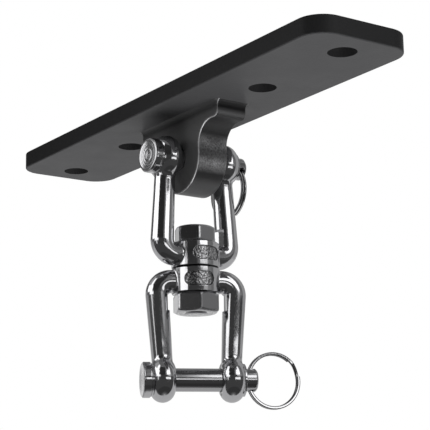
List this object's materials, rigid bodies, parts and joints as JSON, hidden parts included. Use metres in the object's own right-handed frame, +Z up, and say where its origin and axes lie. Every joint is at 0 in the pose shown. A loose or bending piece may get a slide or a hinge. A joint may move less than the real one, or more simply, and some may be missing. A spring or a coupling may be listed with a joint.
{
  "type": "ceiling hook",
  "caption": "Flat ceiling plate with a welded eye lug that carries a jaw-and-jaw swivel on clevis pins with split rings, for hanging a swing, bag or chair.",
  "frame": {"origin": "centre of the plate's flat face that lies against the ceiling", "axes": "+Z up into the ceiling, X along the plate, Y along the upper clevis pin towards its split ring"},
  "size_m": [0.24, 0.0693, 0.1377],
  "materials": {
    "black_coat": "satin black powder coat with a very fine orange peel",
    "polished_steel": "electropolished cast stainless steel, mirror bright with soft casting waviness",
    "turned_steel": "bright turned and polished stainless steel with fine tool rings on the faces",
    "ring_wire": "bright drawn stainless steel wire"
  },
  "bodies": {
    "base": {"ceiling_plate": "black_coat", "eye_lug": "black_coat"},
    "upper_jaw": {"upper_jaw": "polished_steel"},
    "upper_pin": {"upper_clevis_pin": "turned_steel"},
    "upper_ring": {"upper_split_ring": "ring_wire"},
    "swivel_bolt": {"swivel_bolt": "turned_steel", "swivel_nut": "turned_steel"},
    "lower_jaw": {"lower_jaw": "polished_steel"},
    "lower_pin": {"lower_clevis_pin": "turned_steel"},
    "lower_ring": {"lower_split_ring": "ring_wire"}
  },
  "joints": [
    {"name": "jaw_swing", "type": "hinge", "parent": "base", "child": "upper_jaw", "pos_m": [0, 0, -0.028], "axis": [0, 1, 0], "range_deg": [-60, 60]},
    {"name": "upper_pin_turn", "type": "hinge", "parent": "upper_jaw", "child": "upper_pin", "pos_m": [0, 0, -0.028], "axis": [0, 1, 0], "range_deg": [-100, 40]},
    {"name": "upper_ring_swing", "type": "hinge", "parent": "upper_pin", "child": "upper_ring", "pos_m": [0, 0.02285, -0.028], "axis": [0.866, 0, -0.5], "range_deg": [0, 140]},
    {"name": "bolt_turn", "type": "hinge", "parent": "upper_jaw", "child": "swivel_bolt", "pos_m": [0, 0, -0.0765], "axis": [0, 0, 1], "continuous": true},
    {"name": "swivel", "type": "hinge", "parent": "upper_jaw", "child": "lower_jaw", "pos_m": [0, 0, -0.0765], "axis": [0, 0, 1], "continuous": true},
    {"name": "lower_pin_turn", "type": "hinge", "parent": "lower_jaw", "child": "lower_pin", "pos_m": [0, 0, -0.1252], "axis": [0.3907, 0.9205, 0], "continuous": true},
    {"name": "lower_ring_swing", "type": "hinge", "parent": "lower_pin", "child": "lower_ring", "pos_m": [0.00893, 0.02103, -0.1252], "axis": [0, 0, 1], "range_deg": [-98, 82]}
  ]
}
